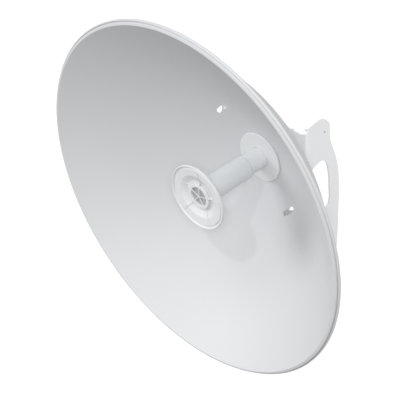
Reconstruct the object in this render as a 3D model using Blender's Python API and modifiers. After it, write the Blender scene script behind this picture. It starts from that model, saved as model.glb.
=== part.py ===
"""Point-to-point dish antenna with its rear feed and folded steel bracket.

Metres, +Z up. The dish looks along -Y. The origin lies on the rear face of the
bracket's web, on the symmetry plane, AXIS_HEIGHT below the dish's axis.
"""

from math import asin, cos, pi, radians, sin, sqrt

import bmesh
import bpy
from mathutils import Matrix, Vector

# Frame
AXIS_HEIGHT = 0.090          # dish axis above the origin
GAP = 0.0003                 # between pieces that touch

# Reflector
DISH_RADIUS = 0.325          # outside of the rolled edge
SHEET = 0.002
RIDGE_RADIUS = 0.3107        # where the paraboloid ends, the foremost line of the dish
FLANGE_DEPTH = 0.1618        # ridge to the front of the feed flange
LAND_DEPTH = 0.0028          # recessed ring outside the ridge, behind it
LAND_WIDTH = 0.0058
BEAD_RADIUS = 0.0020
CREST_RADIUS = 0.3200        # middle of the bead outside the land
CREST_DEPTH = 0.0023
GROOVE_RADIUS = 0.3223       # groove between the bead and the skirt
GROOVE_DEPTH = 0.0055
SKIRT_DEPTH = 0.0104
SEAT_RADIUS = 0.050          # flat seat at the vertex
SLOT_CIRCLE = 0.102
SLOT_WIDTH = 0.010
SLOT_LENGTH = 0.036
SLOT_TURN = 5                # degrees round from the diagonals

# Feed
FLANGE_RADIUS = 0.045
FLANGE_THICKNESS = 0.003
SLEEVE_RADIUS = 0.0181
SLEEVE_WALL = 0.0025
SPIGOT_RADIUS = 0.0172
SPIGOT_LENGTH = 0.016
SEAM = 0.036                 # flange front to the joint of sleeve and tube
TUBE_REAR_RADIUS = 0.0198
TUBE_FRONT_RADIUS = 0.0212
TUBE_BORE = 0.0175
CAP_REAR = 0.1360            # flange front to the back of the cap
CAP_FRONT = 0.1465
CAP_RADIUS = 0.0590
CAP_FLOOR = 0.0012           # thickness at the bottom of the well
CAP_BOWL_DEPTH = 0.0085
RING_OUTER = 0.0526          # pale ring round the cap's bowl
RING_INNER = 0.0395
HUB_RADIUS = 0.0254
WELL_RADIUS = 0.0172
RIB_COUNT = 5
RIB_WIDTH = 0.0012

# Seat behind the reflector
GASKET = 0.002
GASKET_RADIUS = 0.047
SCREW_CIRCLE = 0.038
SCREW_RADIUS = 0.0025
SCREW_HOLE = 0.0028
SCREW_COUNT = 4
HEAD_ACROSS_CORNERS = 0.0092
HEAD_HEIGHT = 0.0035
WASHER_RADIUS = 0.0055
WASHER_THICKNESS = 0.001

# Bracket
PLATE = 0.003
BEND_RADIUS = 0.006          # outside of the fold
SIDE_X = 0.0983              # outer face of each side plate
BRACKET_REACH = 0.110        # more than the deepest point of the side plates
WEB_SLOT_CIRCLE = 0.101
WEB_SLOT_WIDTH = 0.010
WEB_SLOT_LENGTH = 0.043
WEB_SLOT_LEAN = 40.5         # degrees above or below the horizontal
LEFT_TOP = 0.080             # top of the left side plate, which has no lug, over the axis
LUG_HOLE = 0.003
PILOT_HOLE = 0.0017          # blind hole in the upper lug
PILOT_DEPTH = 0.0015
WEB_SPLIT = 0.045            # height at which the web's mesh is parted, below the screws

# Rear housing
LOCK_RING_RADIUS = 0.027
LOCK_RING_LENGTH = 0.007
HOUSING_RADIUS = 0.030
HOUSING_LENGTH = 0.038
HOUSING_WALL = 0.003
COVER_THICKNESS = 0.004
CONNECTOR_SPACING = 0.014
CONNECTOR_RADIUS = 0.0045
CONNECTOR_LENGTH = 0.010

# Distances in front of the feed flange's front face (negative is behind it)
FLANGE_BACK = -FLANGE_THICKNESS
DISH_SEAT = FLANGE_BACK - GAP
DISH_SEAT_BACK = DISH_SEAT - SHEET
GASKET_FRONT = DISH_SEAT_BACK - GAP
GASKET_BACK = GASKET_FRONT - GASKET
WEB_FRONT = GASKET_BACK - GAP
WEB_BACK = WEB_FRONT - PLATE
RING_FRONT = WEB_BACK - GAP
RING_BACK = RING_FRONT - LOCK_RING_LENGTH
HOUSING_FRONT = RING_BACK - GAP
HOUSING_BACK = HOUSING_FRONT - HOUSING_LENGTH
COVER_FRONT = HOUSING_BACK - GAP
COVER_BACK = COVER_FRONT - COVER_THICKNESS
FOCAL_LENGTH = (RIDGE_RADIUS ** 2 - SEAT_RADIUS ** 2) / (4 * (FLANGE_DEPTH - DISH_SEAT))

ROUND_STEPS = 72
TUBE_STEPS = 32
CAP_STEPS = 48
SMALL_STEPS = 16
BOWL_RINGS = 9


def clear_scene():
    for item in list(bpy.data.objects):
        bpy.data.objects.remove(item, do_unlink=True)


def make_collection(name):
    collection = bpy.data.collections.new(name)
    bpy.context.scene.collection.children.link(collection)
    return collection


def make_material(name, colour, roughness, metallic=0.0):
    material = bpy.data.materials.new(name)
    material.use_nodes = True
    shader = material.node_tree.nodes["Principled BSDF"]
    shader.inputs["Base Color"].default_value = (*colour, 1.0)
    shader.inputs["Roughness"].default_value = roughness
    shader.inputs["Metallic"].default_value = metallic
    return material


def signed_area(loop):
    pairs = zip(loop, loop[1:] + loop[:1])
    return sum(a[0] * b[1] - b[0] * a[1] for a, b in pairs) / 2


def add_object(name, mesh, collection, material=None,
           parent=None):
    piece = bpy.data.objects.new(name, mesh)
    collection.objects.link(piece)
    piece.parent = parent
    if material:
        mesh.materials.append(material)
    return piece


def turned(name, profile, collection, material=None, parent=None, steps=TUBE_STEPS):
    """Turns a closed loop of (radius, height) points about the local Z axis."""
    if signed_area(profile) > 0:
        profile = profile[::-1]
    mesh = bpy.data.meshes.new(name)
    count = len(profile)
    edges = [(i, (i + 1) % count) for i in range(count)]
    on_axis = [i for i, point in enumerate(profile) if point[0] == 0]
    if len(on_axis) == 2:
        edges = [edge for edge in edges if set(edge) != set(on_axis)]
    mesh.from_pydata([(r, 0, z) for r, z in profile], edges, [])
    piece = add_object(name, mesh, collection, material, parent)
    screw = piece.modifiers.new("Turn", "SCREW")
    screw.steps = steps
    screw.render_steps = steps
    screw.use_merge_vertices = True
    screw.merge_threshold = 0.00001
    return piece


def arc(centre, radius, start, end, pieces):
    """Points on an arc of a circle, both ends included, angles in degrees."""
    angles = [radians(start + (end - start) * i / pieces) for i in range(pieces + 1)]
    return [(centre[0] + radius * cos(a), centre[1] + radius * sin(a)) for a in angles]


def circle(centre, radius, sides=16):
    return arc(centre, radius, 0, 360 - 360 / sides, sides - 1)


def smooth_loop(points, pieces=4):
    """A closed Catmull-Rom curve through the points."""
    count = len(points)
    loop = []
    for i in range(count):
        a, b, c, d = (points[(i + k) % count] for k in (-1, 0, 1, 2))
        loop += smooth_span(a, b, c, d, pieces)
    return loop


def smooth_path(points, pieces=4):
    """An open Catmull-Rom curve through the points, both ends included."""
    padded = [points[0]] + list(points) + [points[-1]]
    path = []
    for a, b, c, d in zip(padded, padded[1:], padded[2:], padded[3:]):
        path += smooth_span(a, b, c, d, pieces)
    return path + [points[-1]]


def smooth_span(a, b, c, d, pieces):
    span = []
    for step in range(pieces):
        t = step / pieces
        span.append(tuple(
            0.5 * (2 * q + (r - p) * t + (2 * p - 5 * q + 4 * r - s) * t * t
                   + (3 * q - p - 3 * r + s) * t ** 3)
            for p, q, r, s in zip(a, b, c, d)))
    return span


def slab(name, outlines, thickness, place, collection, material=None,
           parent=None):
    """A flat outline with holes, extruded about its own plane, as a mesh object."""
    curve = bpy.data.curves.new(name, "CURVE")
    curve.dimensions = "2D"
    curve.fill_mode = "BOTH"
    curve.extrude = thickness / 2
    for outline in outlines:
        spline = curve.splines.new("POLY")
        spline.points.add(len(outline) - 1)
        for point, (x, y) in zip(spline.points, outline):
            point.co = (x, y, 0, 1)
        spline.use_cyclic_u = True
    flat = bpy.data.objects.new(name + "_outline", curve)
    collection.objects.link(flat)
    flat.matrix_world = place
    bpy.context.view_layer.update()
    depsgraph = bpy.context.evaluated_depsgraph_get()
    mesh = bpy.data.meshes.new_from_object(flat.evaluated_get(depsgraph))
    mesh.materials.clear()
    welded = bmesh.new()
    welded.from_mesh(mesh)
    bmesh.ops.remove_doubles(welded, verts=welded.verts, dist=0.00001)
    bmesh.ops.recalc_face_normals(welded, faces=welded.faces)
    welded.to_mesh(mesh)
    welded.free()
    piece = add_object(name, mesh, collection, material, parent)
    piece.matrix_world = place
    bpy.data.objects.remove(flat, do_unlink=True)
    return piece


def round_bar(name, radius, low, high, collection, at=(0, 0), sides=16, material=None,
           parent=None):
    """A round or many-sided bar along the local Z axis, from low to high."""
    shape = bmesh.new()
    place = Matrix.Translation((at[0], at[1], (low + high) / 2))
    bmesh.ops.create_cone(shape, cap_ends=True, segments=sides, radius1=radius,
                          radius2=radius, depth=high - low, matrix=place)
    mesh = bpy.data.meshes.new(name)
    shape.to_mesh(mesh)
    shape.free()
    return add_object(name, mesh, collection, material, parent)


def combine(piece, tool, operation="DIFFERENCE"):
    boolean = piece.modifiers.new(operation.title(), "BOOLEAN")
    boolean.operation = operation
    boolean.solver = "EXACT"
    boolean.object = tool
    tool.hide_render = True
    tool.display_type = "WIRE"


def screw_places():
    angles = [radians(45 + 360 * i / SCREW_COUNT) for i in range(SCREW_COUNT)]
    return [(SCREW_CIRCLE * cos(a), SCREW_CIRCLE * sin(a)) for a in angles]


def cut_screw_holes(piece, low, high, cutters, parent):
    for number, place in enumerate(screw_places(), 1):
        tool = round_bar(f"{piece.name}_screw_hole_{number}", SCREW_HOLE, low, high,
                         cutters, place, parent=parent)
        combine(piece, tool)


def bowl_front(radius):
    """Height of the bowl's front face above the flange front, at a radius."""
    return DISH_SEAT + (radius ** 2 - SEAT_RADIUS ** 2) / (4 * FOCAL_LENGTH)


def rolled_edge():
    """The edge outside the ridge, from front to back: radius, height."""
    land = FLANGE_DEPTH - LAND_DEPTH
    outer_land = RIDGE_RADIUS + LAND_WIDTH
    middle = (CREST_RADIUS, FLANGE_DEPTH - CREST_DEPTH - BEAD_RADIUS)
    groove = FLANGE_DEPTH - GROOVE_DEPTH
    skirt = FLANGE_DEPTH - SKIRT_DEPTH
    edge = [(RIDGE_RADIUS + 0.0006, FLANGE_DEPTH - 0.0002), (RIDGE_RADIUS + 0.0012, land),
            (outer_land, land), (outer_land + 0.0007, land - 0.0007)]
    edge += arc(middle, BEAD_RADIUS, 165, 10, 6)
    edge += [(GROOVE_RADIUS, groove), (DISH_RADIUS - 0.0012, groove - 0.0001),
             (DISH_RADIUS, groove - 0.0013), (DISH_RADIUS, skirt), (DISH_RADIUS - SHEET, skirt),
             (DISH_RADIUS - SHEET, groove - 0.0024), (outer_land + 0.0010, groove - 0.0018)]
    return edge + [(RIDGE_RADIUS + 0.0023, land - SHEET)]


def reflector_profile():
    span = RIDGE_RADIUS - SEAT_RADIUS
    radii = [SEAT_RADIUS + span * i / BOWL_RINGS for i in range(BOWL_RINGS + 1)]
    front = [(SLEEVE_RADIUS + GAP, DISH_SEAT)]
    front += [(r, bowl_front(r)) for r in radii]

    def behind(radius):
        slope = radius / (2 * FOCAL_LENGTH)
        length = sqrt(1 + slope ** 2)
        return radius + SHEET * slope / length, bowl_front(radius) - SHEET / length

    land_back = FLANGE_DEPTH - LAND_DEPTH - SHEET
    over = behind(RIDGE_RADIUS)
    before = behind(radii[-2])
    share = (land_back - before[1]) / (over[1] - before[1])
    back = [(before[0] + (over[0] - before[0]) * share, land_back)]
    back += [behind(r) for r in reversed(radii[1:-1])]
    back += [(SEAT_RADIUS, DISH_SEAT_BACK), (SLEEVE_RADIUS + GAP, DISH_SEAT_BACK)]
    return front + rolled_edge() + back


def arc_slot(middle, radius, width, length):
    """Outline of a slot that follows a circle about the axis, middle angle in degrees."""
    half = width / 2
    sweep = (length - width) / radius * 90 / pi
    start, end = middle - sweep, middle + sweep
    tips = [(radius * cos(radians(a)), radius * sin(radians(a))) for a in (end, start)]
    outline = arc((0, 0), radius + half, start, end, 6)
    outline += arc(tips[0], half, end, end + 180, 6)[1:-1]
    outline += arc((0, 0), radius - half, end, start, 6)
    outline += arc(tips[1], half, start + 180, start + 360, 6)[1:-1]
    return outline


def build_reflector(parts, cutters, axis, paint):
    dish = turned("reflector", reflector_profile(), parts, paint, axis, ROUND_STEPS)
    for number in range(4):
        outline = arc_slot(45 + SLOT_TURN + 90 * number, SLOT_CIRCLE, SLOT_WIDTH, SLOT_LENGTH)
        tool = slab(f"dish_slot_{number + 1}", [outline], 0.08, Matrix.Identity(4), cutters)
        tool.parent = axis
        combine(dish, tool)
    cut_screw_holes(dish, DISH_SEAT_BACK - 0.005, DISH_SEAT + 0.005, cutters, axis)
    return dish


def build_feed(parts, cutters, axis, plastic, dark):
    bore = SLEEVE_RADIUS + GAP
    flange = turned("feed_flange", [
        (bore, 0), (FLANGE_RADIUS - 0.0008, 0), (FLANGE_RADIUS, -0.0008),
        (FLANGE_RADIUS, FLANGE_BACK), (bore, FLANGE_BACK)], parts, plastic, axis, CAP_STEPS)
    cut_screw_holes(flange, FLANGE_BACK - 0.005, -0.0009, cutters, axis)

    sleeve_bore = SLEEVE_RADIUS - SLEEVE_WALL
    spigot_bore = SPIGOT_RADIUS - SLEEVE_WALL
    sleeve_end = HOUSING_FRONT - 0.006
    turned("feed_sleeve", [
        (SLEEVE_RADIUS, sleeve_end), (SLEEVE_RADIUS, SEAM - GAP),
        (SPIGOT_RADIUS, SEAM - GAP), (SPIGOT_RADIUS, SEAM + SPIGOT_LENGTH),
        (spigot_bore, SEAM + SPIGOT_LENGTH), (spigot_bore, SEAM - 0.004),
        (sleeve_bore, SEAM - 0.004), (sleeve_bore, sleeve_end)], parts, plastic, axis)

    turned("feed_tube", [
        (TUBE_REAR_RADIUS - 0.0006, SEAM), (TUBE_REAR_RADIUS, SEAM + 0.0006),
        (TUBE_FRONT_RADIUS, CAP_REAR - GAP), (TUBE_BORE, CAP_REAR - GAP),
        (TUBE_BORE, SEAM)], parts, plastic, axis)

    build_cap(parts, cutters, axis, plastic, dark)


def cap_bowl():
    """Front face of the cap from its lip to the well in its middle: radius, height."""
    return [(0.0560, CAP_FRONT - 0.0009), (0.0555, CAP_FRONT - 0.0030),
            (0.0532, CAP_FRONT - 0.0030), (RING_OUTER, CAP_FRONT - 0.0014),
            (RING_INNER, CAP_FRONT - 0.0026), (0.0285, CAP_FRONT - CAP_BOWL_DEPTH),
            (WELL_RADIUS, CAP_FRONT - CAP_BOWL_DEPTH), (WELL_RADIUS - 0.0003, CAP_REAR + CAP_FLOOR)]


def build_cap(parts, cutters, axis, plastic, dark):
    back = [(0, CAP_REAR), (0.0240, CAP_REAR), (0.0300, CAP_REAR + 0.0010),
            (0.0450, CAP_REAR + 0.0035), (CAP_RADIUS - 0.0012, CAP_REAR + 0.0051),
            (CAP_RADIUS, CAP_REAR + 0.0062)]
    lip = arc((CAP_RADIUS - 0.0014, CAP_FRONT - 0.0014), 0.0014, 0, 150, 5)
    cap = back + lip + cap_bowl() + [(0, CAP_REAR + CAP_FLOOR)]
    turned("front_cap", cap, parts, plastic, axis, CAP_STEPS)

    window = WELL_RADIUS - 0.0010
    well_floor = CAP_REAR + CAP_FLOOR + GAP
    turned("cap_window", [
        (0, well_floor), (window, well_floor), (window, well_floor + 0.0015),
        (0, well_floor + 0.0015)], parts, dark, axis)
    build_spider(parts, cutters, axis, plastic)


def build_spider(parts, cutters, axis, plastic):
    """The hub ring and its thin radial ribs, cut to the shape of the cap's bowl."""
    tip = RING_OUTER - 0.0006
    half = RIB_WIDTH / 2
    lean = asin(half / HUB_RADIUS)
    outline = []
    holes = []
    for number in range(RIB_COUNT):
        step = 2 * pi / RIB_COUNT
        angle = pi / 2 + step * number
        along, across = (cos(angle), sin(angle)), (-sin(angle), cos(angle))
        for side in (-half, half):
            outline.append((tip * along[0] + side * across[0], tip * along[1] + side * across[1]))
        begin, finish = angle + lean, angle + step - lean
        outline += [(HUB_RADIUS * cos(begin + (finish - begin) * i / 8),
                     HUB_RADIUS * sin(begin + (finish - begin) * i / 8)) for i in range(9)]
        middle = angle + step / 2
        edge = asin(half / WELL_RADIUS)
        begin, finish = angle + edge, angle + step - edge
        inner = half / sin(step / 2)
        hole = [(inner * cos(middle), inner * sin(middle))]
        hole += [(WELL_RADIUS * cos(begin + (finish - begin) * i / 6),
                  WELL_RADIUS * sin(begin + (finish - begin) * i / 6)) for i in range(7)]
        holes.append(hole)
    spider = slab("cap_spider", [outline] + holes, 0.04, Matrix.Translation((0, 0, CAP_FRONT)),
                  parts, plastic)
    spider.parent = axis
    floor = CAP_FRONT - CAP_BOWL_DEPTH + GAP
    top = [(0, CAP_FRONT - 0.0032), (WELL_RADIUS - 0.0006, CAP_FRONT - 0.0024),
           (WELL_RADIUS + 0.0006, CAP_FRONT - 0.0012), (HUB_RADIUS - 0.0008, CAP_FRONT - 0.0012),
           (HUB_RADIUS, CAP_FRONT - 0.0022), (0.0285, CAP_FRONT - 0.0042),
           (RING_INNER, CAP_FRONT - 0.0016), (tip, CAP_FRONT - 0.0005)]
    bottom = [(tip, CAP_FRONT - 0.0014 + GAP), (RING_INNER, CAP_FRONT - 0.0026 + GAP),
              (0.0285, floor), (WELL_RADIUS, floor), (WELL_RADIUS - 0.0006, CAP_FRONT - 0.0056),
              (0, CAP_FRONT - 0.0056)]
    envelope = turned("spider_envelope", top + bottom, cutters, None, axis, CAP_STEPS)
    combine(spider, envelope, "INTERSECT")


def build_gasket(parts, cutters, axis, rubber):
    gasket = turned("seat_gasket", [
        (SLEEVE_RADIUS + GAP, GASKET_BACK), (GASKET_RADIUS, GASKET_BACK),
        (GASKET_RADIUS, GASKET_FRONT), (SLEEVE_RADIUS + GAP, GASKET_FRONT)], parts, rubber, axis)
    cut_screw_holes(gasket, GASKET_BACK - 0.005, GASKET_FRONT + 0.005, cutters, axis)


def fold_outline():
    """Plan of the folded sheet, seen from above: x, y."""
    front = -PLATE
    inner = BEND_RADIUS - PLATE
    right = SIDE_X - BEND_RADIUS
    pivot = front + BEND_RADIUS
    outer_fold = arc((right, pivot), BEND_RADIUS, -90, 0, 5)
    inner_fold = arc((right, pivot), inner, 0, -90, 5)
    ends = [(SIDE_X, BRACKET_REACH), (SIDE_X - PLATE, BRACKET_REACH)]
    right_half = outer_fold + ends + inner_fold
    left_half = [(-x, y) for x, y in reversed(right_half)]
    return right_half + left_half


def side_outline():
    """Edge of the side plates: distance behind the flange front, height over the axis."""
    lug = [(-0.010, 0.1050), (0.005, 0.1086), (0.0200, 0.1122), (0.0340, 0.1143),
           (0.0400, 0.1136), (0.0458, 0.1107), (0.0520, 0.1062), (0.0574, 0.1003),
           (0.0612, 0.0945), (0.0629, 0.0883)]
    back = [(0.0640, 0.0750), (0.0648, 0.0610), (0.0690, 0.0450), (0.0742, 0.0311),
            (0.0823, 0.0061), (0.0882, -0.0221), (0.0914, -0.0572), (0.0921, -0.0996),
            (0.0921, -0.1446)]
    heel = arc((0.0621, -0.1830), 0.0300, 0, -90, 8)
    toe = [(0.005, -0.2130), (-0.010, -0.2130)]
    return smooth_path(lug + back, 2) + heel + toe


def window_outline():
    """The large opening in each side plate, in the same measures as its edge."""
    return smooth_loop([(0.0220, 0.0145), (0.0350, 0.0212), (0.0480, 0.0226),
                        (0.0590, 0.0085), (0.0648, -0.0156), (0.0682, -0.0528),
                        (0.0690, -0.0730), (0.0640, -0.0850), (0.0480, -0.0900),
                        (0.0320, -0.0890), (0.0220, -0.0800), (0.0190, -0.0550),
                        (0.0185, -0.0250), (0.0190, -0.0020)], 3)


def left_trim():
    """What the left side plate lacks of the right one: the same measures."""
    corner = arc((0.0440, 0.0600), 0.0200, 90, 25, 5)
    return [(-0.02, 0.140), (-0.02, LEFT_TOP)] + corner + [(0.0700, 0.0600), (0.12, 0.0600),
                                                          (0.12, 0.140)]


def web_outline():
    """Front view of the web: x, height over the axis."""
    top = smooth_path([(0, 0.0885), (0.0300, 0.0895), (0.0480, 0.0908), (0.0650, 0.0916)], 3)
    nub = [(0.0654, 0.0942), (0.0682, 0.0942)]
    top += nub + smooth_path([(0.0686, 0.0918), (0.0828, 0.0922), (0.0890, 0.0938),
                              (0.0925, 0.0962)], 3)
    notch = [(0.0950, 0.0985), (0.0968, 0.0990), (0.0968, 0.1032), (0.0925, 0.1045)]
    right = top + notch + [(0.0925, 0.1400), (0.1300, 0.1400)]
    foot = [(0.1300, -0.2500), (0.0960, -0.2500), (0.0960, -0.1960), (0.0900, -0.1900)]
    left_foot = [(-x, z) for x, z in reversed(foot)]
    return right + foot + left_foot + [(-0.1300, LEFT_TOP), (-0.0300, LEFT_TOP)]


def part_web(bracket):
    """Parts the sheet's mesh across, so that the face at the origin ends below the screws."""
    shape = bmesh.new()
    shape.from_mesh(bracket.data)
    low_side = bracket.matrix_world.inverted() @ Vector((0, 0, WEB_SPLIT))
    everything = shape.verts[:] + shape.edges[:] + shape.faces[:]
    bmesh.ops.bisect_plane(shape, geom=everything, plane_co=low_side, plane_no=(0, 0, 1))
    shape.to_mesh(bracket.data)
    shape.free()


def build_bracket(parts, cutters, steel):
    """A folded sheet: the plan is extruded, then cut by its side view and front view."""
    to_rear = -WEB_BACK
    upright = Matrix.Translation((0, 0, AXIS_HEIGHT - 0.052))
    bracket = slab("mount_bracket", [fold_outline()], 0.400, upright, parts, steel)
    part_web(bracket)

    def from_side(loop):
        return [(b - to_rear, v + AXIS_HEIGHT) for b, v in loop]

    def from_front(loop):
        return [(x, v + AXIS_HEIGHT) for x, v in loop]

    side_view = [side_outline(), window_outline(), circle((0.0621, -0.1830), LUG_HOLE)]
    sideways = Matrix(((0, 0, 1, 0), (1, 0, 0, 0), (0, 1, 0, 0), (0, 0, 0, 1)))
    side_tool = slab("bracket_side_view", [from_side(loop) for loop in side_view], 0.300,
                     sideways, cutters)
    combine(bracket, side_tool, "INTERSECT")

    front_view = [web_outline(), circle((0, 0), SLEEVE_RADIUS + GAP, TUBE_STEPS)]
    front_view += [circle(place, SCREW_HOLE) for place in screw_places()]
    facing = Matrix(((1, 0, 0, 0), (0, 0, -1, 0), (0, 1, 0, 0), (0, 0, 0, 1)))
    front_tool = slab("bracket_front_view", [from_front(loop) for loop in front_view], 0.300,
                      facing, cutters)
    combine(bracket, front_tool, "INTERSECT")
    lean = WEB_SLOT_LEAN
    for number, middle in enumerate((lean, 180 - lean, 180 + lean, 360 - lean), 1):
        outline = arc_slot(middle, WEB_SLOT_CIRCLE, WEB_SLOT_WIDTH, WEB_SLOT_LENGTH)
        combine(bracket, slab(f"web_slot_{number}", [from_front(outline)], 0.020, facing, cutters))

    left_side = Matrix.Translation((-SIDE_X, 0, 0)) @ sideways
    combine(bracket, slab("left_side_trim", [from_side(left_trim())], 0.020, left_side, cutters))
    pilot = circle((0.0503, 0.0815), PILOT_HOLE, 12)
    right_side = Matrix.Translation((SIDE_X, 0, 0)) @ sideways
    combine(bracket, slab("lug_pilot", [from_side(pilot)], 2 * PILOT_DEPTH, right_side, cutters))


def build_screws(parts, cutters, axis, zinc):
    washer_front = WEB_BACK - GAP
    washer_back = washer_front - WASHER_THICKNESS
    head_front = washer_back - GAP
    tip = -0.0013
    for number, place in enumerate(screw_places(), 1):
        washer = turned(f"flange_washer_{number}", [
            (SCREW_HOLE, washer_back), (WASHER_RADIUS, washer_back),
            (WASHER_RADIUS, washer_front), (SCREW_HOLE, washer_front)],
            parts, zinc, axis, SMALL_STEPS)
        washer.location = (*place, 0)
        head = round_bar(f"flange_screw_{number}", HEAD_ACROSS_CORNERS / 2,
                         head_front - HEAD_HEIGHT, head_front, parts, place, 6, zinc, axis)
        shank = round_bar(f"screw_shank_{number}", SCREW_RADIUS, head_front - 0.001, tip,
                          cutters, place, parent=axis)
        combine(head, shank, "UNION")


def build_rear(parts, cutters, axis, plastic, zinc):
    bore = SLEEVE_RADIUS + GAP
    turned("lock_ring", [
        (bore, RING_BACK), (LOCK_RING_RADIUS - 0.001, RING_BACK),
        (LOCK_RING_RADIUS, RING_BACK + 0.001), (LOCK_RING_RADIUS, RING_FRONT - 0.001),
        (LOCK_RING_RADIUS - 0.001, RING_FRONT), (bore, RING_FRONT)], parts, plastic, axis)

    inside = HOUSING_RADIUS - HOUSING_WALL
    step = HOUSING_FRONT - 0.008
    turned("rear_housing", [
        (bore, HOUSING_FRONT), (HOUSING_RADIUS - 0.002, HOUSING_FRONT),
        (HOUSING_RADIUS, HOUSING_FRONT - 0.002), (HOUSING_RADIUS, HOUSING_BACK),
        (inside, HOUSING_BACK), (inside, step), (bore, step)], parts, plastic, axis)

    cover = turned("rear_cover", [
        (0, COVER_BACK), (HOUSING_RADIUS - 0.0015, COVER_BACK),
        (HOUSING_RADIUS, COVER_BACK + 0.0015), (HOUSING_RADIUS, COVER_FRONT),
        (0, COVER_FRONT)], parts, plastic, axis)
    neck = CONNECTOR_RADIUS - 0.001
    for side, name in ((-1, "left"), (1, "right")):
        place = (side * CONNECTOR_SPACING, 0)
        tool = round_bar(f"cover_hole_{name}", neck + GAP, COVER_BACK - 0.005,
                         COVER_FRONT + 0.005, cutters, place, parent=axis)
        combine(cover, tool)
        collar = COVER_BACK - GAP
        connector = turned(f"rf_connector_{name}", [
            (0.0012, COVER_FRONT), (neck, COVER_FRONT), (neck, collar),
            (CONNECTOR_RADIUS + 0.0015, collar), (CONNECTOR_RADIUS + 0.0015, collar - 0.002),
            (neck, collar - 0.002), (neck, collar - CONNECTOR_LENGTH),
            (0.0022, collar - CONNECTOR_LENGTH), (0.0022, collar - 0.001),
            (0.0012, collar - 0.001)], parts, zinc, axis, SMALL_STEPS)
        connector.location = (*place, 0)


def build():
    clear_scene()
    parts = make_collection("dish_antenna")
    cutters = make_collection("cutters")
    paint = make_material("white paint", (0.72, 0.73, 0.75), 0.38)
    steel = make_material("painted steel", (0.74, 0.75, 0.76), 0.42)
    plastic = make_material("white plastic", (0.78, 0.78, 0.77), 0.45)
    dark = make_material("grey plastic", (0.32, 0.33, 0.34), 0.55)
    rubber = make_material("black rubber", (0.03, 0.03, 0.03), 0.8)
    zinc = make_material("zinc plate", (0.62, 0.62, 0.60), 0.35, 1.0)

    axis = bpy.data.objects.new("dish_axis", None)
    parts.objects.link(axis)
    axis.location = (0, WEB_BACK, AXIS_HEIGHT)
    axis.rotation_euler = (pi / 2, 0, 0)
    bpy.context.view_layer.update()

    build_reflector(parts, cutters, axis, paint)
    build_feed(parts, cutters, axis, plastic, dark)
    build_gasket(parts, cutters, axis, rubber)
    build_bracket(parts, cutters, steel)
    build_screws(parts, cutters, axis, zinc)
    build_rear(parts, cutters, axis, plastic, zinc)


build()
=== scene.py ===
"""Dresses the dish antenna: finished meshes and finishes round the fixed frame.

Run as a script. Metres, +Z up, the dish looks along -Y. Shapes that are turned
about the dish's axis are given as places (radius, distance in front of the feed flange).
"""

from math import cos, degrees, pi, radians, sin, sqrt

import bpy
from bpy.props import FloatProperty, FloatVectorProperty, IntProperty, PointerProperty
from mathutils import Matrix, Vector


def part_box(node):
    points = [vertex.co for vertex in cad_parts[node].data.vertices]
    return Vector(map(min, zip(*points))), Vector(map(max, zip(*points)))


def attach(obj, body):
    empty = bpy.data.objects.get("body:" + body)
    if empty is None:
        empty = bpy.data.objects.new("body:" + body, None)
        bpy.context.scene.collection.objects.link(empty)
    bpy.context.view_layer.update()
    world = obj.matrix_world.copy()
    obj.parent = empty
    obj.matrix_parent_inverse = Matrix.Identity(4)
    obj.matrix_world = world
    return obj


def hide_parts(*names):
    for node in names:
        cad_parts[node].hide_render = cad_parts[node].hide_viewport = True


bl_info = {
    "name": "Dish Antenna Dressing",
    "version": (1, 0, 0),
    "blender": (4, 5, 0),
    "location": "3D View > Sidebar > Dish Antenna",
    "description": "Models and finishes the pieces of a point-to-point dish antenna",
    "category": "Add Mesh",
}

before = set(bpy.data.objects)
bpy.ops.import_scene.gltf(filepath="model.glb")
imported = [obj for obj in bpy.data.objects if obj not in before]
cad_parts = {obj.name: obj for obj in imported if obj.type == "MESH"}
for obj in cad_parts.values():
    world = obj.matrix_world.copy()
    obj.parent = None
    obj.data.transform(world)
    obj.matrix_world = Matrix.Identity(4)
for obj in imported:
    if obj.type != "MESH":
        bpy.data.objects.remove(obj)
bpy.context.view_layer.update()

BODY = "root"
SCREWS = range(1, 5)
SIDES = ("left", "right")

GAP = 0.0003                 # between pieces that touch
WELD = 0.00001               # points closer than this are one
PAST = 0.01                  # a cutter reaches this far past what it cuts
CORNER_PIECES = 4            # straight pieces of a rounded corner
LAMP_DISTANCE = 3.0          # where a lamp stands, which its parallel light doesn't depend on


# Places read from the frame


def low(node):
    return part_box(node)[0]


def high(node):
    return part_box(node)[1]


AXIS_Z = (low("reflector").z + high("reflector").z) / 2
FLANGE_Y = low("feed_flange").y
DISH_RADIUS = high("reflector").x
BORE = high("feed_sleeve").x + GAP


def front_of(node):
    """Distance of a node's front face in front of the feed flange."""
    return FLANGE_Y - low(node).y


def rear_of(node):
    """Distance of a node's rear face in front of the feed flange, below 0 behind it."""
    return FLANGE_Y - high(node).y


def centre_of(node):
    """Place of a node's own axis in the X-Z plane."""
    middle = (low(node) + high(node)) / 2
    return middle.x, middle.z


DISH_FRONT = front_of("reflector")
SEAT = rear_of("feed_flange") - GAP
DISH_AXIS = (0.0, AXIS_Z)


# Small measures that a user would leave alone

SHOULDER = 0.0010            # groove to the shoulder outside it
SHOULDER_DROP = 0.0020       # shoulder to the top of the skirt
SKIRT_CORNER = 0.0008        # rounding of the skirt's corners
EDGE_ROOT = (0.0015, 0.0014)  # edge's inner end: outside the ridge, behind the crease
SLOT_REACH = 0.05            # front end of the slots' cutter, ahead of the seat

FINE_CORNER = 0.0003         # rounding of the flange and the sleeve
SOFT_CORNER = 0.0006         # rounding of the cap, its hub ring and the rear cover
HOLE_COVER = 0.0009          # plastic in front of the flange's blind holes
NECK_DEPTH = 0.0012          # how deep the sleeve's neck is
SPIGOT_ROOT = 0.004          # spigot's root, behind the seam of the tube
TUBE_CORNER = 0.0008         # rounding of the tube's ends

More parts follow.
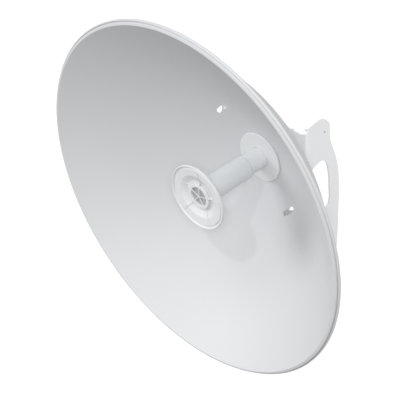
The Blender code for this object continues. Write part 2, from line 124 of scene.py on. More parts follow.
# The cap's back: radius, distance ahead of its rear
CAP_BACK = ((0.0240, 0.0), (0.0300, 0.0010), (0.0450, 0.0035))
CAP_EDGE = (0.0051, 0.0062)  # corners of the cap's outer edge, ahead of its rear
RING_DEPTHS = (0.0014, 0.0026)  # pale ring's outer and inner edge, behind the lip
# Front of the ribs, behind the lip, from the middle outwards
RIB_DEPTHS = (0.0048, 0.0042, 0.0038, 0.0066, 0.0017, 0.0007)
RIB_BASE = 0.0056            # back of the ribs in the well, behind the lip
HUB_DEPTH = 0.0040           # hub ring's front, behind the lip

BRACKET_BEVEL = 0.0005       # rounding of the bracket's edges
SHANK = 0.0025               # radius of a screw's shank
SHANK_TIP = (0.0019, 0.0006)  # radius of its tip, length of the chamfer there
HEAD_CORNER = (0.0008, 0.0003)  # chamfer of a hexagon head: outer and inner side
SMALL_STEPS = 48             # faces round screw heads, washers and sockets

HOUSING_FLOOR = 0.008        # housing's floor, behind its front
HOUSING_GROOVE = (0.0060, 0.0066, 0.0076, 0.0082)  # groove's corners, behind the front
HOUSING_GROOVE_DEPTH = 0.0006
HOUSING_CORNER = 0.0012      # rounding of the housing
COVER_STEP = (0.72, 0.76)    # step in the cover's back, in shares of its radius
NUT = 0.002                  # thickness of a socket's nut
THREAD_START = 0.0030        # first ridge of the thread, behind the nut's front
PIN_HOLE = 0.0012            # radius of a socket's bore in the cover
MOUTH = 0.0022               # radius of a socket's mouth


# Sizes and colours that a user would change


def length(name, description, default, soft_max=1.0):
    return FloatProperty(name=name, description=description, default=default, min=0.0,
                         soft_max=soft_max, unit="LENGTH", precision=5)


def number(name, description, default, soft_max=10.0):
    return FloatProperty(name=name, description=description, default=default, min=0.0,
                         soft_max=soft_max)


def whole(name, description, default, least=3):
    return IntProperty(name=name, description=description, default=default, min=least)


def angle(name, description, default):
    return FloatProperty(name=name, description=description, default=radians(default),
                         subtype="ANGLE")


def colour(name, description, default):
    return FloatVectorProperty(name=name, description=description, default=default, size=3,
                               min=0.0, max=1.0, subtype="COLOR")


def lamp(name, description, default):
    return FloatVectorProperty(name=name, description=description, default=default, size=4)


def names_in(group):
    """Names of the values in a property group, in their order."""
    return [name for name in group.bl_rna.properties.keys() if name not in ("rna_type", "name")]


class DishSizes(bpy.types.PropertyGroup):
    """Sizes of the reflector"""

    steps: whole("Steps", "Faces round the reflector", 288, 24)
    rings: whole("Rings", "Faces from the seat to the ridge", 48, 8)
    sheet: length("Sheet", "Thickness of the sheet", 0.002)
    seat: length("Seat", "Radius of the flat seat at the vertex", 0.050)
    ridge: length("Ridge", "Radius where the paraboloid ends", 0.3172)
    ridge_depth: length("Ridge depth", "Paraboloid's end, behind the dish's front", 0.0016)
    bead: length("Bead", "Radius of the bead's section", 0.0020)
    crest: length("Crest", "Radius of the bead's crest", 0.3200)
    crest_depth: length("Crest depth", "Bead's crest, behind the dish's front", 0.0023)
    groove: length("Groove", "Radius of the groove outside the bead", 0.3223)
    groove_depth: length("Groove depth", "Groove, behind the dish's front", 0.0055)
    crease: length("Crease", "Depth of the crease between the bead and the skirt", 0.0020)
    skirt_depth: length("Skirt depth", "Skirt's end, behind the dish's front", 0.0104)
    slot_circle: length("Slot circle", "Radius of the circle of slots", 0.102)
    slot_width: length("Slot width", "Width of a slot", 0.0078)
    slot_length: length("Slot length", "Length of a slot", 0.036)
    slot_turn: angle("Slot turn", "First slot, round from the horizontal", 50)
    slots: whole("Slots", "Slots in the reflector", 4)


class FeedSizes(bpy.types.PropertyGroup):
    """Sizes of the feed's tube and flange"""

    steps: whole("Steps", "Faces round the tube", 128, 16)
    chamfer: length("Chamfer", "Chamfer round the flange", 0.0009)
    wall: length("Wall", "Wall of the sleeve", 0.0025)
    taper: length("Taper", "How much the tube narrows to its rear", 0.0014)
    bore: length("Bore", "Radius of the tube's bore", 0.0175)
    neck: length("Neck", "Length of the neck where the sleeve meets the tube", 0.0022)


class CapSizes(bpy.types.PropertyGroup):
    """Sizes of the cap at the front of the feed"""

    steps: whole("Steps", "Faces round the cap", 160, 24)
    lip: length("Lip", "Radius of the lip's section", 0.0014)
    groove: length("Groove", "Depth of the groove inside the lip", 0.0030)
    ring_outer: length("Ring outside", "Outer radius of the pale ring", 0.0526)
    ring_inner: length("Ring inside", "Inner radius of the pale ring", 0.0395)
    trough: length("Trough", "Radius where the bowl's floor begins", 0.0285)
    depth: length("Depth", "Depth of the bowl's floor", 0.0085)
    floor: length("Floor", "Thickness at the bottom of the well", 0.0012)
    hub: length("Hub", "Outer radius of the hub ring", 0.0224)
    well: length("Well", "Radius of the well in the hub", 0.0172)
    ribs: whole("Ribs", "Radial ribs", 5)
    rib_width: length("Rib width", "Thickness of a rib", 0.0012)


class RearSizes(bpy.types.PropertyGroup):
    """Sizes of the rear end of the feed and of the bracket's lug"""

    steps: whole("Steps", "Faces round the housing", 96, 16)
    grips: whole("Grips", "Grooves round the lock ring", 24)
    grip: length("Grip", "Radius of a groove's section", 0.0014)
    grip_depth: length("Grip depth", "Depth of a groove", 0.0008)
    wall: length("Wall", "Wall of the housing", 0.003)
    socket: length("Socket", "Radius of a coaxial socket's barrel", 0.0035)
    pitch: length("Pitch", "Pitch of the sockets' thread", 0.0008)
    screw_hole: length("Screw hole", "Radius of the holes for the screws", 0.0028)
    # The pilot hole's sizes also place the painted shade inside it.
    pilot: length("Pilot", "Radius of the blind hole in the bracket's lug", 0.0017)
    pilot_back: length("Pilot back", "Blind hole, behind the bracket's front", 0.0424)
    pilot_up: length("Pilot height", "Blind hole, above the dish's axis", 0.0815)


class Finishes(bpy.types.PropertyGroup):
    """Colours of the finishes"""

    paint: colour("Paint", "White powder coat of the reflector", (0.619, 0.632, 0.646))
    bracket: colour("Bracket", "White powder coat of the bracket", (0.925, 0.942, 0.958))
    plastic: colour("Plastic", "White plastic of the feed", (0.722, 0.735, 0.747))
    window: colour("Window", "Grey plastic in the cap's well", (0.42, 0.43, 0.44))
    housing: colour("Housing", "Plastic of the rear housing", (0.74, 0.75, 0.76))
    rubber: colour("Rubber", "Gasket", (0.020, 0.020, 0.022))
    zinc: colour("Zinc", "Screws and washers", (0.70, 0.71, 0.72))
    brass: colour("Brass", "Plated coaxial sockets", (0.83, 0.66, 0.30))
    floor: colour("Floor", "White ground", (0.97, 0.97, 0.97))
    sky: colour("Sky", "Even light from all round", (1.0, 1.0, 1.0))


class Lamps(bpy.types.PropertyGroup):
    """Studio lamps: azimuth, elevation and size in degrees, and strength"""

    key: lamp("Key", "Small lamp that draws the feed's faint shadow", (14, 56, 2, 0.30))
    front: lamp("Front", "Main lamp, at the camera", (44, 41, 10, 1.02))
    left: lamp("Left", "Soft lamp on the left of the dish", (-47, 24, 30, 1.10))
    above: lamp("Above", "Soft lamp above the dish", (-31, 68, 30, 0.52))
    right: lamp("Right", "Soft lamp on the bracket's side", (90, 30, 50, 0.60))
    rear: lamp("Rear", "Soft lamp behind the dish", (180, 45, 50, 0.30))


class StageSizes(bpy.types.PropertyGroup):
    """Camera, sky and floor"""

    azimuth: angle("Azimuth", "Camera's angle round the object", 44.86)
    elevation: angle("Elevation", "Camera's angle above the horizon", 40.36)
    distance: length("Distance", "Camera to the place it looks at", 4.884, 20.0)
    aim: length("Aim", "Place it looks at, in front of the feed flange", 0.159)
    aim_right: length("Aim right", "Place it looks at, right of the axis", 0.0142)
    aim_up: length("Aim up", "Place it looks at, above the axis", 0.0023)
    lens: number("Lens", "Focal length in millimetres", 270.0, 500.0)
    sky_strength: number("Sky strength", "Even light from all round", 0.42)
    floor_drop: length("Floor drop", "Floor below the origin", 3.0, 10.0)
    floor_size: length("Floor size", "Side of the floor", 200.0, 500.0)


# Shader graphs written as expressions


class Value:
    """A number socket that arithmetic adds Math nodes to."""

    def __init__(self, graph, socket):
        self.graph = graph
        self.socket = socket

    def math(self, operation, first, second):
        made = self.graph.node("ShaderNodeMath", {"operation": operation}, (first, second))
        return Value(self.graph, made.outputs[0])

    def __add__(self, other):
        return self.math("ADD", self, other)

    def __sub__(self, other):
        return self.math("SUBTRACT", self, other)

    def __rsub__(self, other):
        return self.math("SUBTRACT", other, self)

    def __mul__(self, other):
        return self.math("MULTIPLY", self, other)

    __radd__ = __add__
    __rmul__ = __mul__


class Graph:
    """The node tree of one material."""

    def __init__(self, name):
        self.material = bpy.data.materials.new(name)
        self.material.use_nodes = True
        self.tree = self.material.node_tree
        self.shader = self.tree.nodes["Principled BSDF"]

    def put(self, socket, value):
        if isinstance(value, Value):
            value = value.socket
        if isinstance(value, bpy.types.NodeSocket):
            self.tree.links.new(value, socket)
        else:
            socket.default_value = value

    def node(self, kind, settings=None, sockets=()):
        """Adds a node: its settings first, then its sockets by name or by order."""
        made = self.tree.nodes.new(kind)
        for key, value in (settings or {}).items():
            if key == "stops":
                self.set_stops(made.color_ramp, value)
            else:
                setattr(made, key, value)
        pairs = sockets.items() if isinstance(sockets, dict) else enumerate(sockets)
        for key, value in pairs:
            self.put(made.inputs[key], value)
        return made

    def set_stops(self, ramp, stops):
        for order, (place, shade) in enumerate(stops):
            stop = ramp.elements[order] if order < 2 else ramp.elements.new(place)
            stop.position = place
            stop.color = (shade, shade, shade, 1)

    def noise(self, scale, detail=2.0, roughness=0.5):
        place = self.node("ShaderNodeTexCoord").outputs["Object"]
        made = self.node("ShaderNodeTexNoise", {"noise_dimensions": "3D"}, {
            "Vector": place, "Scale": scale, "Detail": detail, "Roughness": roughness})
        return Value(self, made.outputs["Fac"])

    def ramp(self, value, stops):
        made = self.node("ShaderNodeValToRGB", {"stops": stops}, (value,))
        return Value(self, made.outputs["Color"])

    def mix(self, factor, first, second):
        made = self.node("ShaderNodeMix", {"data_type": "RGBA"}, {
            0: factor, 6: first, 7: second})
        return made.outputs[2]

    def distance(self, place):
        """Distance from a place, in metres."""
        here = self.node("ShaderNodeTexCoord").outputs["Object"]
        made = self.node("ShaderNodeVectorMath", {"operation": "DISTANCE"}, (here, place))
        return Value(self, made.outputs["Value"])

    def bump(self, height, depth, strength):
        sockets = {"Height": height, "Distance": depth, "Strength": strength}
        return self.node("ShaderNodeBump", None, sockets).outputs["Normal"]

    def finish(self, **sockets):
        for key, value in sockets.items():
            self.put(self.shader.inputs[key.replace("_", " ").title()], value)
        return self.material


def opaque(shade, factor=1.0):
    return (*(min(1.0, part * factor) for part in shade), 1.0)


def powder_coat(name, shade, painted_shade_place=(0, 0, 0), painted_shade_radius=0.0):
    """White powder coat: orange peel, faint clouds, a few specks, and painted shade in one small hole.
    """
    graph = Graph(name)
    cloud = graph.noise(7.0, 3.0)
    peel = graph.noise(430.0, 2.0, 0.6)
    powder = graph.noise(2400.0, 1.0)
    speck = graph.ramp(graph.noise(1300.0, 1.0), [(0.70, 0.0), (0.78, 1.0)])
    tint = graph.mix(cloud, opaque(shade, 0.985), opaque(shade, 1.015))
    tint = graph.mix(speck * 0.12, tint, opaque(shade, 0.86))
    # Painted shade: the paint is darkened inside one small hole, where shade falls.
    if painted_shade_radius:
        near = graph.distance(painted_shade_place) * (0.5 / painted_shade_radius)    # 0.5 at the hole's edge
        tint = graph.mix(graph.ramp(near, [(0.50, 1.0), (0.62, 0.0)]), tint, opaque(shade, 0.25))
    return graph.finish(base_color=tint, roughness=(cloud - 0.5) * 0.10 + (peel * 0.06 + 0.50),
                        normal=graph.bump(peel + powder * 0.25, 0.00004, 0.5))


def moulded(name, shade, rough=0.45, grain=900.0, depth=0.00003):
    """Moulded plastic: a fine even grain, faint flow clouds and a few dull patches."""
    graph = Graph(name)
    flow = graph.noise(24.0, 3.0, 0.55)
    texture = graph.noise(grain, 2.0, 0.55)
    dull = graph.ramp(graph.noise(70.0, 2.0), [(0.45, 0.0), (0.75, 1.0)])
    tint = graph.mix(flow, opaque(shade, 0.980), opaque(shade, 1.018))
    return graph.finish(base_color=tint, roughness=dull * 0.10 + (texture * 0.06 + rough),
                        normal=graph.bump(texture, depth, 0.5))


def plated(name, shade, rough):
    """Plated metal with faint stains and fine scratches."""
    graph = Graph(name)
    stain = graph.noise(160.0, 4.0, 0.6)
    grain = graph.noise(900.0, 3.0, 0.7)
    tint = graph.mix(stain, opaque(shade, 0.82), opaque(shade, 1.06))
    return graph.finish(base_color=tint, metallic=1.0, roughness=stain * 0.16 + rough,
                        normal=graph.bump(grain, 0.00002, 0.5))


def rubber_sheet(name, shade):
    """Dull black rubber with a dusty bloom."""
    graph = Graph(name)
    grain = graph.noise(1100.0, 2.0)
    bloom = graph.noise(60.0, 3.0)
    return graph.finish(base_color=graph.mix(bloom, opaque(shade), opaque(shade, 1.8)),
                        roughness=0.82 - grain * 0.12,
                        normal=graph.bump(grain, 0.00006, 0.6))


def finish_of(name, maker, *values):
    """The named material, made on first use."""
    return bpy.data.materials.get(name) or maker(name, *values)


def feed_plastic(finishes):
    return finish_of("feed_white_plastic", moulded, finishes.plastic)


def grey_plastic(finishes):
    return finish_of("housing_grey_plastic", moulded, finishes.housing, 0.50, 600.0, 0.00008)


# Modelling steps


def deselect_all():
    if bpy.context.object and bpy.context.object.mode != "OBJECT":
        bpy.ops.object.mode_set(mode="OBJECT")
    bpy.ops.object.select_all(action="DESELECT")


def make_active(piece):
    deselect_all()
    piece.select_set(True)
    bpy.context.view_layer.objects.active = piece


def apply_modifier(piece, kind, **settings):
    make_active(piece)
    modifier = piece.modifiers.new(kind.title(), kind)
    for key, value in settings.items():
        setattr(modifier, key, value)
    bpy.ops.object.modifier_apply(modifier=modifier.name)


def cut_with(piece, cutter, operation="DIFFERENCE", crossing=False):
    """Cuts or joins a piece with another shape, which may cross itself."""
    apply_modifier(piece, "BOOLEAN", object=cutter, operation=operation, solver="EXACT",
                   use_self=crossing)
    bpy.data.objects.remove(cutter, do_unlink=True)


def chain_of_points(name, points):
    """A new mesh, left in edit mode: one vertex extruded from point to point."""
    deselect_all()
    bpy.ops.mesh.primitive_plane_add(size=0.01, location=(0, 0, 0))
    piece = bpy.context.active_object
    piece.name = name
    piece.data.name = name
    bpy.ops.object.mode_set(mode="EDIT")
    bpy.ops.mesh.select_all(action="SELECT")
    bpy.ops.mesh.merge(type="CENTER")
    bpy.ops.transform.translate(value=points[0])
    for start, end in zip(points, points[1:]):
        bpy.ops.mesh.extrude_region_move(TRANSFORM_OT_translate={
            "value": tuple(b - a for a, b in zip(start, end))})
    bpy.ops.mesh.select_all(action="SELECT")
    return piece


def close_surface():
    """Welds the mesh in edit mode, points its faces outwards and leaves edit mode."""
    bpy.ops.mesh.select_all(action="SELECT")
    bpy.ops.mesh.remove_doubles(threshold=WELD)
    bpy.ops.mesh.normals_make_consistent(inside=False)
    bpy.ops.object.mode_set(mode="OBJECT")


def turn(name, profile, steps, axis=DISH_AXIS):
    """Spins a loop of places (radius, distance ahead) about an axis along Y."""
    x, z = axis
    points = [(x + radius, FLANGE_Y - ahead, z) for radius, ahead in profile]
    if profile[0][0] > 0 or profile[-1][0] > 0:
        points.append(points[0])
    piece = chain_of_points(name, points)
    bpy.ops.mesh.spin(steps=steps, angle=2 * pi, center=(x, 0, z), axis=(0, 1, 0))
    close_surface()
    return piece


def extruded(name, points, step):
    """A bar: a face with the given corners, extruded by a step."""
    piece = chain_of_points(name, points)
    bpy.ops.mesh.edge_face_add()
    bpy.ops.mesh.extrude_region_move(TRANSFORM_OT_translate={"value": step})
    close_surface()
    return piece


def prism(name, outline, near, far):
    """A bar along Y with an outline in the X-Z plane, between two distances ahead."""
    points = [(x, FLANGE_Y - near, z) for x, z in outline]
    return extruded(name, points, (0, near - far, 0))


def repeat_round_axis(piece, count):
    """Copies the whole of a piece's mesh round the dish's axis."""
    make_active(piece)
    bpy.ops.object.mode_set(mode="EDIT")
    bpy.ops.mesh.select_all(action="SELECT")
    bpy.ops.mesh.spin(steps=count - 1, dupli=True, angle=2 * pi * (count - 1) / count,
                      center=(0, 0, AXIS_Z), axis=(0, 1, 0))
    close_surface()
    return piece


def arc(centre, radius, start, end, pieces=10):
    """Points on an arc, both ends included, angles in degrees."""
    angles = [radians(start + (end - start) * i / pieces) for i in range(pieces + 1)]
    return [(centre[0] + radius * cos(a), centre[1] + radius * sin(a)) for a in angles]


def circle(centre, radius, sides, start=0.0):
    return arc(centre, radius, start, start + 360 - 360 / sides, sides - 1)


def rounded(profile, radius):
    """The closed profile with each corner that is off the axis turned into a curve."""
    result = []
    for i, corner in enumerate(profile):
        here = Vector(corner)
        back = Vector(profile[i - 1]) - here
        on = Vector(profile[(i + 1) % len(profile)]) - here
        if here.x == 0:
            result.append(corner)
            continue
        reach = min(radius, back.length * 0.45, on.length * 0.45)
        first, last = here + back.normalized() * reach, here + on.normalized() * reach
        for share in (k / CORNER_PIECES for k in range(CORNER_PIECES + 1)):
            bend = here * (2 * share * (1 - share))
            result.append(tuple(first * (1 - share) ** 2 + bend + last * share ** 2))
    return result


def washer_shape(name, inner, outer, rear, front, corner, steps, axis=DISH_AXIS):
    """A turned ring of oblong section with rounded corners."""
    loop = [(inner, rear), (outer, rear), (outer, front), (inner, front)]
    return turn(name, rounded(loop, corner), steps, axis)


def refined_copy(name, node, bevel):
    """A CAD node's shape as one surface of flat faces, with rounded edges."""
    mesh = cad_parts[node].data.copy()
    mesh.name = name
    piece = bpy.data.objects.new(name, mesh)
    bpy.context.scene.collection.objects.link(piece)
    make_active(piece)
    bpy.ops.object.mode_set(mode="EDIT")
    bpy.ops.mesh.select_all(action="SELECT")
    bpy.ops.mesh.remove_doubles(threshold=WELD)
    bpy.ops.mesh.dissolve_limited(angle_limit=radians(0.5))
    bpy.ops.object.mode_set(mode="OBJECT")
    apply_modifier(piece, "BEVEL", width=bevel, segments=2, limit_method="ANGLE",
                   angle_limit=radians(35), use_clamp_overlap=True)
    return piece


def dress(piece, material, node, sharpest=46):
    """Shades a piece, gives it its finish and its body, and hides the CAD node it stands for."""
    make_active(piece)
    bpy.ops.object.shade_smooth_by_angle(angle=radians(sharpest))
    apply_modifier(piece, "WEIGHTED_NORMAL", keep_sharp=True)
    piece.data.materials.clear()
    piece.data.materials.append(material)
    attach(piece, BODY)
    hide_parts(node)
    deselect_all()


# The pieces


def rolled_edge(sizes):
    """The edge outside the paraboloid, from front to back."""
    ridge = DISH_FRONT - sizes.ridge_depth
    groove = DISH_FRONT - sizes.groove_depth
    crease = groove - sizes.crease
    skirt = DISH_FRONT - sizes.skirt_depth
    inside = DISH_RADIUS - sizes.sheet
    bead = (sizes.crest, DISH_FRONT - sizes.crest_depth - sizes.bead)
    shoulder = (sizes.groove + SHOULDER, groove)
    root = (sizes.ridge + EDGE_ROOT[0], crease - EDGE_ROOT[1])
    lip = [(sizes.ridge + 0.0004, ridge + 0.0001), (sizes.ridge + 0.0014, ridge - 0.0003)]
    corner = CORNER_PIECES + 1
    fold = rounded([shoulder, (DISH_RADIUS, groove - SHOULDER_DROP), (DISH_RADIUS, skirt),
                    (inside, skirt), (inside, root[1]), root], SKIRT_CORNER)[corner:-corner]
    crease_floor = [(sizes.groove, crease), (sizes.groove + SHOULDER / 2, crease)]
    return (lip + arc(bead, sizes.bead, 95, 10, 8) + crease_floor + [shoulder] + fold + [root])


def reflector_profile(sizes):
    """The paraboloid from the feed's hole to the ridge, the rolled edge, and the back."""
    rise = DISH_FRONT - sizes.ridge_depth - SEAT
    focal = (sizes.ridge ** 2 - sizes.seat ** 2) / (4 * rise)
    span = sizes.ridge - sizes.seat
    radii = [sizes.seat + span * i / sizes.rings for i in range(sizes.rings + 1)]

    def ahead(radius):
        return SEAT + (radius ** 2 - sizes.seat ** 2) / (4 * focal)

    def behind(radius):
        slope = radius / (2 * focal)
        stretch = sqrt(1 + slope ** 2)
        return radius + sizes.sheet * slope / stretch, ahead(radius) - sizes.sheet / stretch

    back_end = DISH_FRONT - sizes.groove_depth
    front = [(BORE, SEAT), (sizes.seat - 0.004, SEAT)] + [(r, ahead(r)) for r in radii]
    back = [place for place in map(behind, reversed(radii[1:])) if place[1] < back_end]
    back += [(sizes.seat, SEAT - sizes.sheet), (BORE, SEAT - sizes.sheet)]
    return front + rolled_edge(sizes) + back


def slot_outline(sizes):
    half = sizes.slot_width / 2
    middle = degrees(sizes.slot_turn)
    sweep = degrees((sizes.slot_length - sizes.slot_width) / sizes.slot_circle) / 2
    start, end = middle - sweep, middle + sweep
    tips = arc(DISH_AXIS, sizes.slot_circle, start, end, 1)
    outline = arc(DISH_AXIS, sizes.slot_circle + half, start, end)
    outline += arc(tips[1], half, end, end + 180)[1:-1]
    outline += arc(DISH_AXIS, sizes.slot_circle - half, end, start)
    outline += arc(tips[0], half, start + 180, start + 360)[1:-1]
    return outline


def cut_screw_holes(piece, radius, rear, front):
    for order in SCREWS:
        outline = circle(centre_of(f"flange_screw_{order}"), radius, 24)
        cut_with(piece, prism(f"screw_hole_{order}", outline, rear, front))


def make_reflector(sizes, rear, finishes):
    dish = turn("painted_reflector", reflector_profile(sizes), sizes.steps)
    slot = prism("slot_cutter", slot_outline(sizes), SEAT - PAST, SEAT + SLOT_REACH)
    cut_with(dish, repeat_round_axis(slot, sizes.slots))
    cut_screw_holes(dish, rear.screw_hole, SEAT - PAST, SEAT + PAST)
    paint = finish_of("reflector_powder_coat", powder_coat, finishes.paint)
    dress(dish, paint, "reflector", 30)


def make_feed(sizes, rear, finishes):
    plastic = feed_plastic(finishes)
    edge = high("feed_flange").x
    back = rear_of("feed_flange")
    ring = turn("flange_ring", rounded([
        (BORE, 0), (edge - sizes.chamfer, 0), (edge, -sizes.chamfer), (edge, back),
        (BORE, back)], FINE_CORNER), sizes.steps)
    cut_screw_holes(ring, rear.screw_hole, back - PAST, -HOLE_COVER)
    dress(ring, plastic, "feed_flange", 40)

    seam = rear_of("feed_tube")
    radius = high("feed_sleeve").x
    bore = radius - sizes.wall
    plug = sizes.bore - GAP
    end, spigot = rear_of("feed_sleeve"), front_of("feed_sleeve")
    sleeve = turn("rear_sleeve", rounded([
        (radius, end), (radius, seam - sizes.neck), (radius - NECK_DEPTH, seam - sizes.neck),
        (radius - NECK_DEPTH, seam - GAP), (plug, seam - GAP), (plug, spigot),
        (plug - sizes.wall, spigot), (plug - sizes.wall, seam - SPIGOT_ROOT),
        (bore, seam - SPIGOT_ROOT), (bore, end)], FINE_CORNER), sizes.steps)
    dress(sleeve, plastic, "feed_sleeve")

    wide = high("feed_tube").x
    tip = front_of("feed_tube")
    tube = turn("front_tube", rounded([
        (wide - sizes.taper, seam), (wide, tip), (sizes.bore, tip), (sizes.bore, seam)],
        TUBE_CORNER), sizes.steps)
    dress(tube, plastic, "feed_tube")


def cap_profile(sizes):
    """The cap from the middle of its back, round its lip, to the bottom of its well."""
    front, rear = front_of("front_cap"), rear_of("front_cap")
    radius = high("front_cap").x
    bottom = front - sizes.depth
    well_floor = rear + sizes.floor
    back = [(place, rear + ahead) for place, ahead in CAP_BACK]
    back += [(radius - 0.0012, rear + CAP_EDGE[0]), (radius, rear + CAP_EDGE[1])]
    lip = arc((radius - sizes.lip, front - sizes.lip), sizes.lip, 0, 150)
    bowl = [(radius - 0.0035, front - sizes.groove), (sizes.ring_outer + 0.0006, front - sizes.groove),
            (sizes.ring_outer, front - RING_DEPTHS[0]), (sizes.ring_inner, front - RING_DEPTHS[1]),
            (sizes.trough, bottom), (sizes.well, bottom), (sizes.well - 0.0003, well_floor)]
    return rounded([(0.0, rear)] + back + lip + bowl + [(0.0, well_floor)], SOFT_CORNER)


def spider_ribs(sizes):
    """The ribs from the middle of the well, through the hub ring, to the pale ring."""
    front = front_of("front_cap")
    floor = front - sizes.depth + GAP
    tip = sizes.ring_outer - 0.0006
    radii = (0.0, sizes.well, sizes.hub, sizes.trough, sizes.ring_inner, tip)
    outline = [(radius, front - depth) for radius, depth in zip(radii, RIB_DEPTHS)]
    outline += [(tip, front - RING_DEPTHS[0] + GAP), (sizes.ring_inner, front - RING_DEPTHS[1] + GAP),
                (sizes.trough, floor), (sizes.well + 0.0010, floor + 0.0002),
                (sizes.well, front - RIB_BASE), (0.0, front - RIB_BASE)]
    side = sizes.rib_width / 2
    points = [(-side, FLANGE_Y - ahead, AXIS_Z + radius) for radius, ahead in outline]
    rib = extruded("spider_rib", points, (sizes.rib_width, 0, 0))
    return repeat_round_axis(rib, sizes.ribs)


def make_cap(sizes, finishes):
    plastic = feed_plastic(finishes)
    cap = turn("moulded_cap", cap_profile(sizes), sizes.steps)
    dress(cap, plastic, "front_cap")

    edge = high("cap_window").x
    near, far = front_of("cap_window"), rear_of("cap_window")
    disc = turn("well_window", rounded([
        (0.0, far), (edge, far), (edge, near), (0.0, near)], 0.0004), 64)
    grey = finish_of("window_grey_plastic", moulded, finishes.window, 0.55)
    dress(disc, grey, "cap_window")

    front = front_of("front_cap")
    spider = washer_shape("ribbed_spider", sizes.well, sizes.hub, front - sizes.depth + GAP,
                          front - HUB_DEPTH, SOFT_CORNER, sizes.steps)
    cut_with(spider, spider_ribs(sizes), "UNION", crossing=True)
    dress(spider, plastic, "cap_spider")


def make_bracket(sizes, finishes):
    side, front = high("mount_bracket").x, low("mount_bracket").y
    # Place and radius of the pilot hole, inside which the bracket's paint gets painted shade.
    pilot = (side, front + sizes.pilot_back, AXIS_Z + sizes.pilot_up)
    paint = finish_of("bracket_powder_coat", powder_coat, finishes.bracket, pilot, sizes.pilot)
    bracket = refined_copy("painted_bracket", "mount_bracket", BRACKET_BEVEL)
    dress(bracket, paint, "mount_bracket", 50)


def make_fasteners(rear, finishes):
    zinc = finish_of("zinc_plate", plated, finishes.zinc, 0.26)
    for order in SCREWS:
        node = f"flange_screw_{order}"
        axis = centre_of(node)
        across = (high(node).x - low(node).x) / 2
        top, tip = rear_of(node), front_of(node)
        seat = rear_of(f"flange_washer_{order}") - GAP
        head = prism(f"hex_screw_{order}", circle(axis, across, 6), top, seat)
        outer, inner = HEAD_CORNER
        dome = turn("head_dome", [(0.0, top), (across * 0.80, top), (across, top + outer),
                                  (across, seat - inner), (across * 0.90, seat), (0.0, seat)],
                    SMALL_STEPS, axis)
        cut_with(head, dome, "INTERSECT")
        shank = turn("shank", [(0.0, seat - 0.001), (SHANK, seat - 0.001),
                               (SHANK, tip - SHANK_TIP[1]), (SHANK_TIP[0], tip), (0.0, tip)],
                     32, axis)
        cut_with(head, shank, "UNION")
        dress(head, zinc, node, 30)

        node = f"flange_washer_{order}"
        radius = (high(node).x - low(node).x) / 2
        washer = washer_shape(f"washer_{order}", rear.screw_hole, radius, rear_of(node),
                              front_of(node), 0.0002, SMALL_STEPS, axis)
        dress(washer, zinc, node)


def make_rear(sizes, finishes):
    grey = grey_plastic(finishes)
    black = finish_of("gasket_black_rubber", rubber_sheet, finishes.rubber)
    node = "seat_gasket"
    gasket = washer_shape("rubber_gasket", BORE, high(node).x, rear_of(node), front_of(node),
                          0.0004, sizes.steps)
    cut_screw_holes(gasket, sizes.screw_hole, SEAT - 2 * PAST, SEAT)
    dress(gasket, black, node)

    node = "lock_ring"
    edge = high(node).x
    ring = washer_shape("grip_ring", BORE, edge, rear_of(node), front_of(node), 0.0012,
                        sizes.steps)
    place = (edge + sizes.grip - sizes.grip_depth, AXIS_Z)
    groove = prism("grip_cutter", circle(place, sizes.grip, 16), rear_of(node) - PAST,
                   front_of(node) + PAST)
    cut_with(ring, repeat_round_axis(groove, sizes.grips))
    dress(ring, grey, node)

    node = "rear_housing"
    edge = high(node).x
    near, far = front_of(node), rear_of(node)
    floor = near - HOUSING_FLOOR
    reach = (edge, edge - HOUSING_GROOVE_DEPTH, edge - HOUSING_GROOVE_DEPTH, edge)
    groove = [(radius, near - depth) for radius, depth in zip(reach, HOUSING_GROOVE)]
    loop = [(BORE, near), (edge, near), *groove, (edge, far), (edge - sizes.wall, far),
            (edge - sizes.wall, floor), (BORE, floor)]
    housing = turn("radio_socket", rounded(loop, HOUSING_CORNER), sizes.steps)
    dress(housing, grey, node, 50)


def make_cover(sizes, finishes):
    node = "rear_cover"
    edge = high(node).x
    near, far = front_of(node), rear_of(node)
    cover = turn("socket_cover", rounded([
        (0.0, far), (edge * COVER_STEP[0], far), (edge * COVER_STEP[1], far + 0.0005),
        (edge - 0.0010, far + 0.0005), (edge, far + 0.0015), (edge, near), (0.0, near)],
        SOFT_CORNER), sizes.steps)
    for name in SIDES:
        outline = circle(centre_of(f"rf_connector_{name}"), sizes.socket + GAP, 32)
        cut_with(cover, prism(f"cover_hole_{name}", outline, far - PAST, near + PAST))
    dress(cover, grey_plastic(finishes), node)


def socket_profile(sizes, node):
    """A coaxial socket's barrel with the ridges of its thread, from the cover to its tip."""
    inner, tip = front_of(node), rear_of(node)
    collar = rear_of("rear_cover") - GAP
    threads = int((collar - 0.0035 - tip) / sizes.pitch)
    root = sizes.socket - sizes.pitch * 0.35
    barrel = [(PIN_HOLE, inner), (sizes.socket, inner), (sizes.socket, collar - 0.0028)]
    for order in range(threads):
        start = collar - THREAD_START - sizes.pitch * order
        barrel += [(root, start - sizes.pitch * 0.20), (root, start - sizes.pitch * 0.30),
                   (sizes.socket, start - sizes.pitch * 0.70),
                   (sizes.socket, start - sizes.pitch * 0.80)]
    return barrel + [(root, tip), (MOUTH, tip), (MOUTH, collar - 0.001), (PIN_HOLE, collar - 0.001)]


def make_connectors(sizes, finishes):
    brass = finish_of("plated_brass", plated, finishes.brass, 0.20)
    for name in SIDES:
        node = f"rf_connector_{name}"
        axis = centre_of(node)
        collar = rear_of("rear_cover") - GAP
        across = (high(node).x - low(node).x) / 2
        socket = turn(f"socket_{name}", socket_profile(sizes, node), SMALL_STEPS, axis)
        nut = prism("socket_nut", circle(axis, across, 6), collar - NUT, collar)
        hole = sizes.socket - GAP
        bore = turn("nut_bore", [(0.0, collar - PAST), (hole, collar - PAST),
                                 (hole, collar + PAST), (0.0, collar + PAST)], SMALL_STEPS, axis)
        cut_with(nut, bore)
        cut_with(socket, nut, "UNION")
        dress(socket, brass, node, 30)


# The stage


